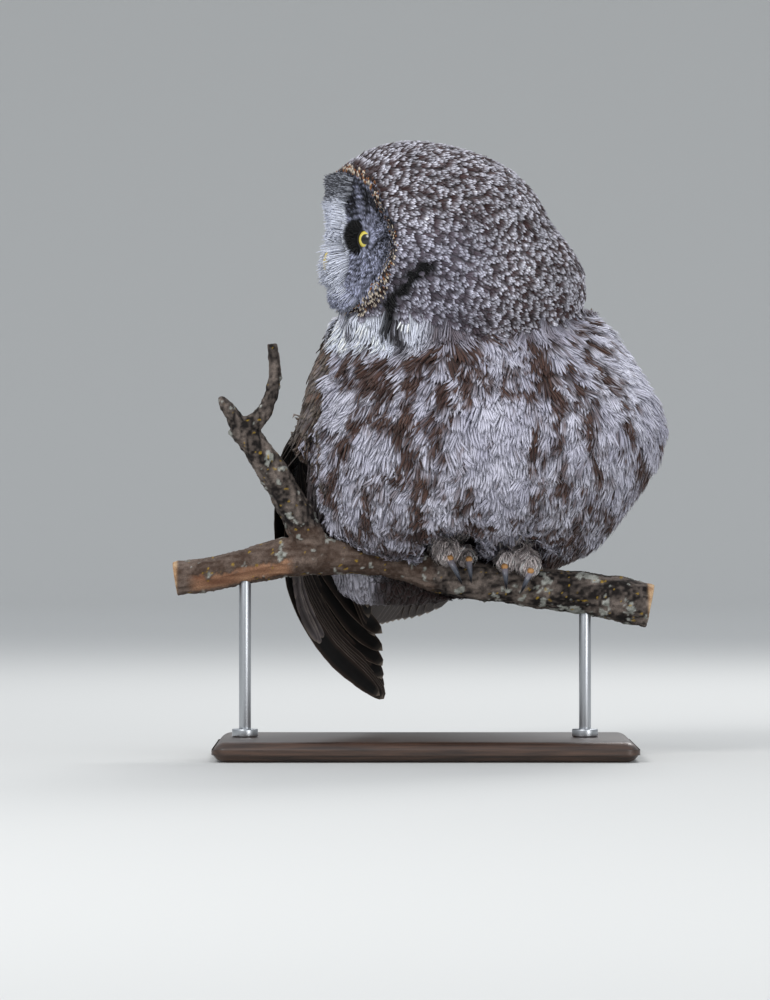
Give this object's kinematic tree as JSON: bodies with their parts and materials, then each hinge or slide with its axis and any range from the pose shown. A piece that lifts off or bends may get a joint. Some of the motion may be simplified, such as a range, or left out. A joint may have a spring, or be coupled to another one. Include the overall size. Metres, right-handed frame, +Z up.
{
  "type": "great grey owl",
  "caption": "Great grey owl perched on a cut branch, head turned to its right, held over a flat base by two short rods.",
  "frame": {"origin": "centre of the underside of the stand's base", "axes": "+Z up, +X along the perch towards the end under the bird's left side, -Y towards the viewer"},
  "size_m": [0.5016, 0.5508, 0.6166],
  "materials": {
    "plumage": "soft barred and spotted grey-brown feathers",
    "breast_plumage": "loose pale grey feathers with dark brown streaks",
    "face_plumage": "fine grey feathers with dark rings round the eyes",
    "flight_feathers": "stiff barred brown vanes with a faint sheen",
    "foot_plumage": "short hair-like grey-brown feathers",
    "claw_horn": "smooth dark horn, paler at the root",
    "bill_horn": "smooth yellowish horn",
    "eye": "clear glossy cornea over a yellow iris",
    "bark": "rough dark bark with pale lichen, bare wood where it is peeled",
    "stand_wood": "stained and waxed hardwood",
    "stand_steel": "brushed"
  },
  "bodies": {
    "root": {"head": "plumage", "neck": "plumage", "trunk_back": "plumage", "tail_coverts": "plumage", "trunk_breast": "breast_plumage", "face_disc_left": "face_plumage", "face_disc_right": "face_plumage", "wing_left_coverts": "flight_feathers", "wing_left_secondaries": "flight_feathers", "wing_left_primaries": "flight_feathers", "wing_right_coverts": "flight_feathers", "wing_right_secondaries": "flight_feathers", "wing_right_primaries": "flight_feathers", "tail": "flight_feathers", "leg_left": "foot_plumage", "leg_right": "foot_plumage", "bill_upper": "bill_horn", "bill_lower": "bill_horn", "eye_left": "eye", "eye_right": "eye", "perch": "bark", "stand_base": "stand_wood", "stand_rod_left": "stand_steel", "stand_rod_right": "stand_steel", "stand_collar_left": "stand_steel", "stand_collar_right": "stand_steel", "toe_right_inner_front": "foot_plumage", "claw_right_inner_front": "claw_horn", "toe_right_inner_back": "foot_plumage", "claw_right_inner_back": "claw_horn", "toe_right_outer_front": "foot_plumage", "claw_right_outer_front": "claw_horn", "toe_right_outer_back": "foot_plumage", "claw_right_outer_back": "claw_horn", "toe_left_inner_front": "foot_plumage", "claw_left_inner_front": "claw_horn", "toe_left_inner_back": "foot_plumage", "claw_left_inner_back": "claw_horn", "toe_left_outer_front": "foot_plumage", "claw_left_outer_front": "claw_horn", "toe_left_outer_back": "foot_plumage", "claw_left_outer_back": "claw_horn"}
  },
  "joints": []
}
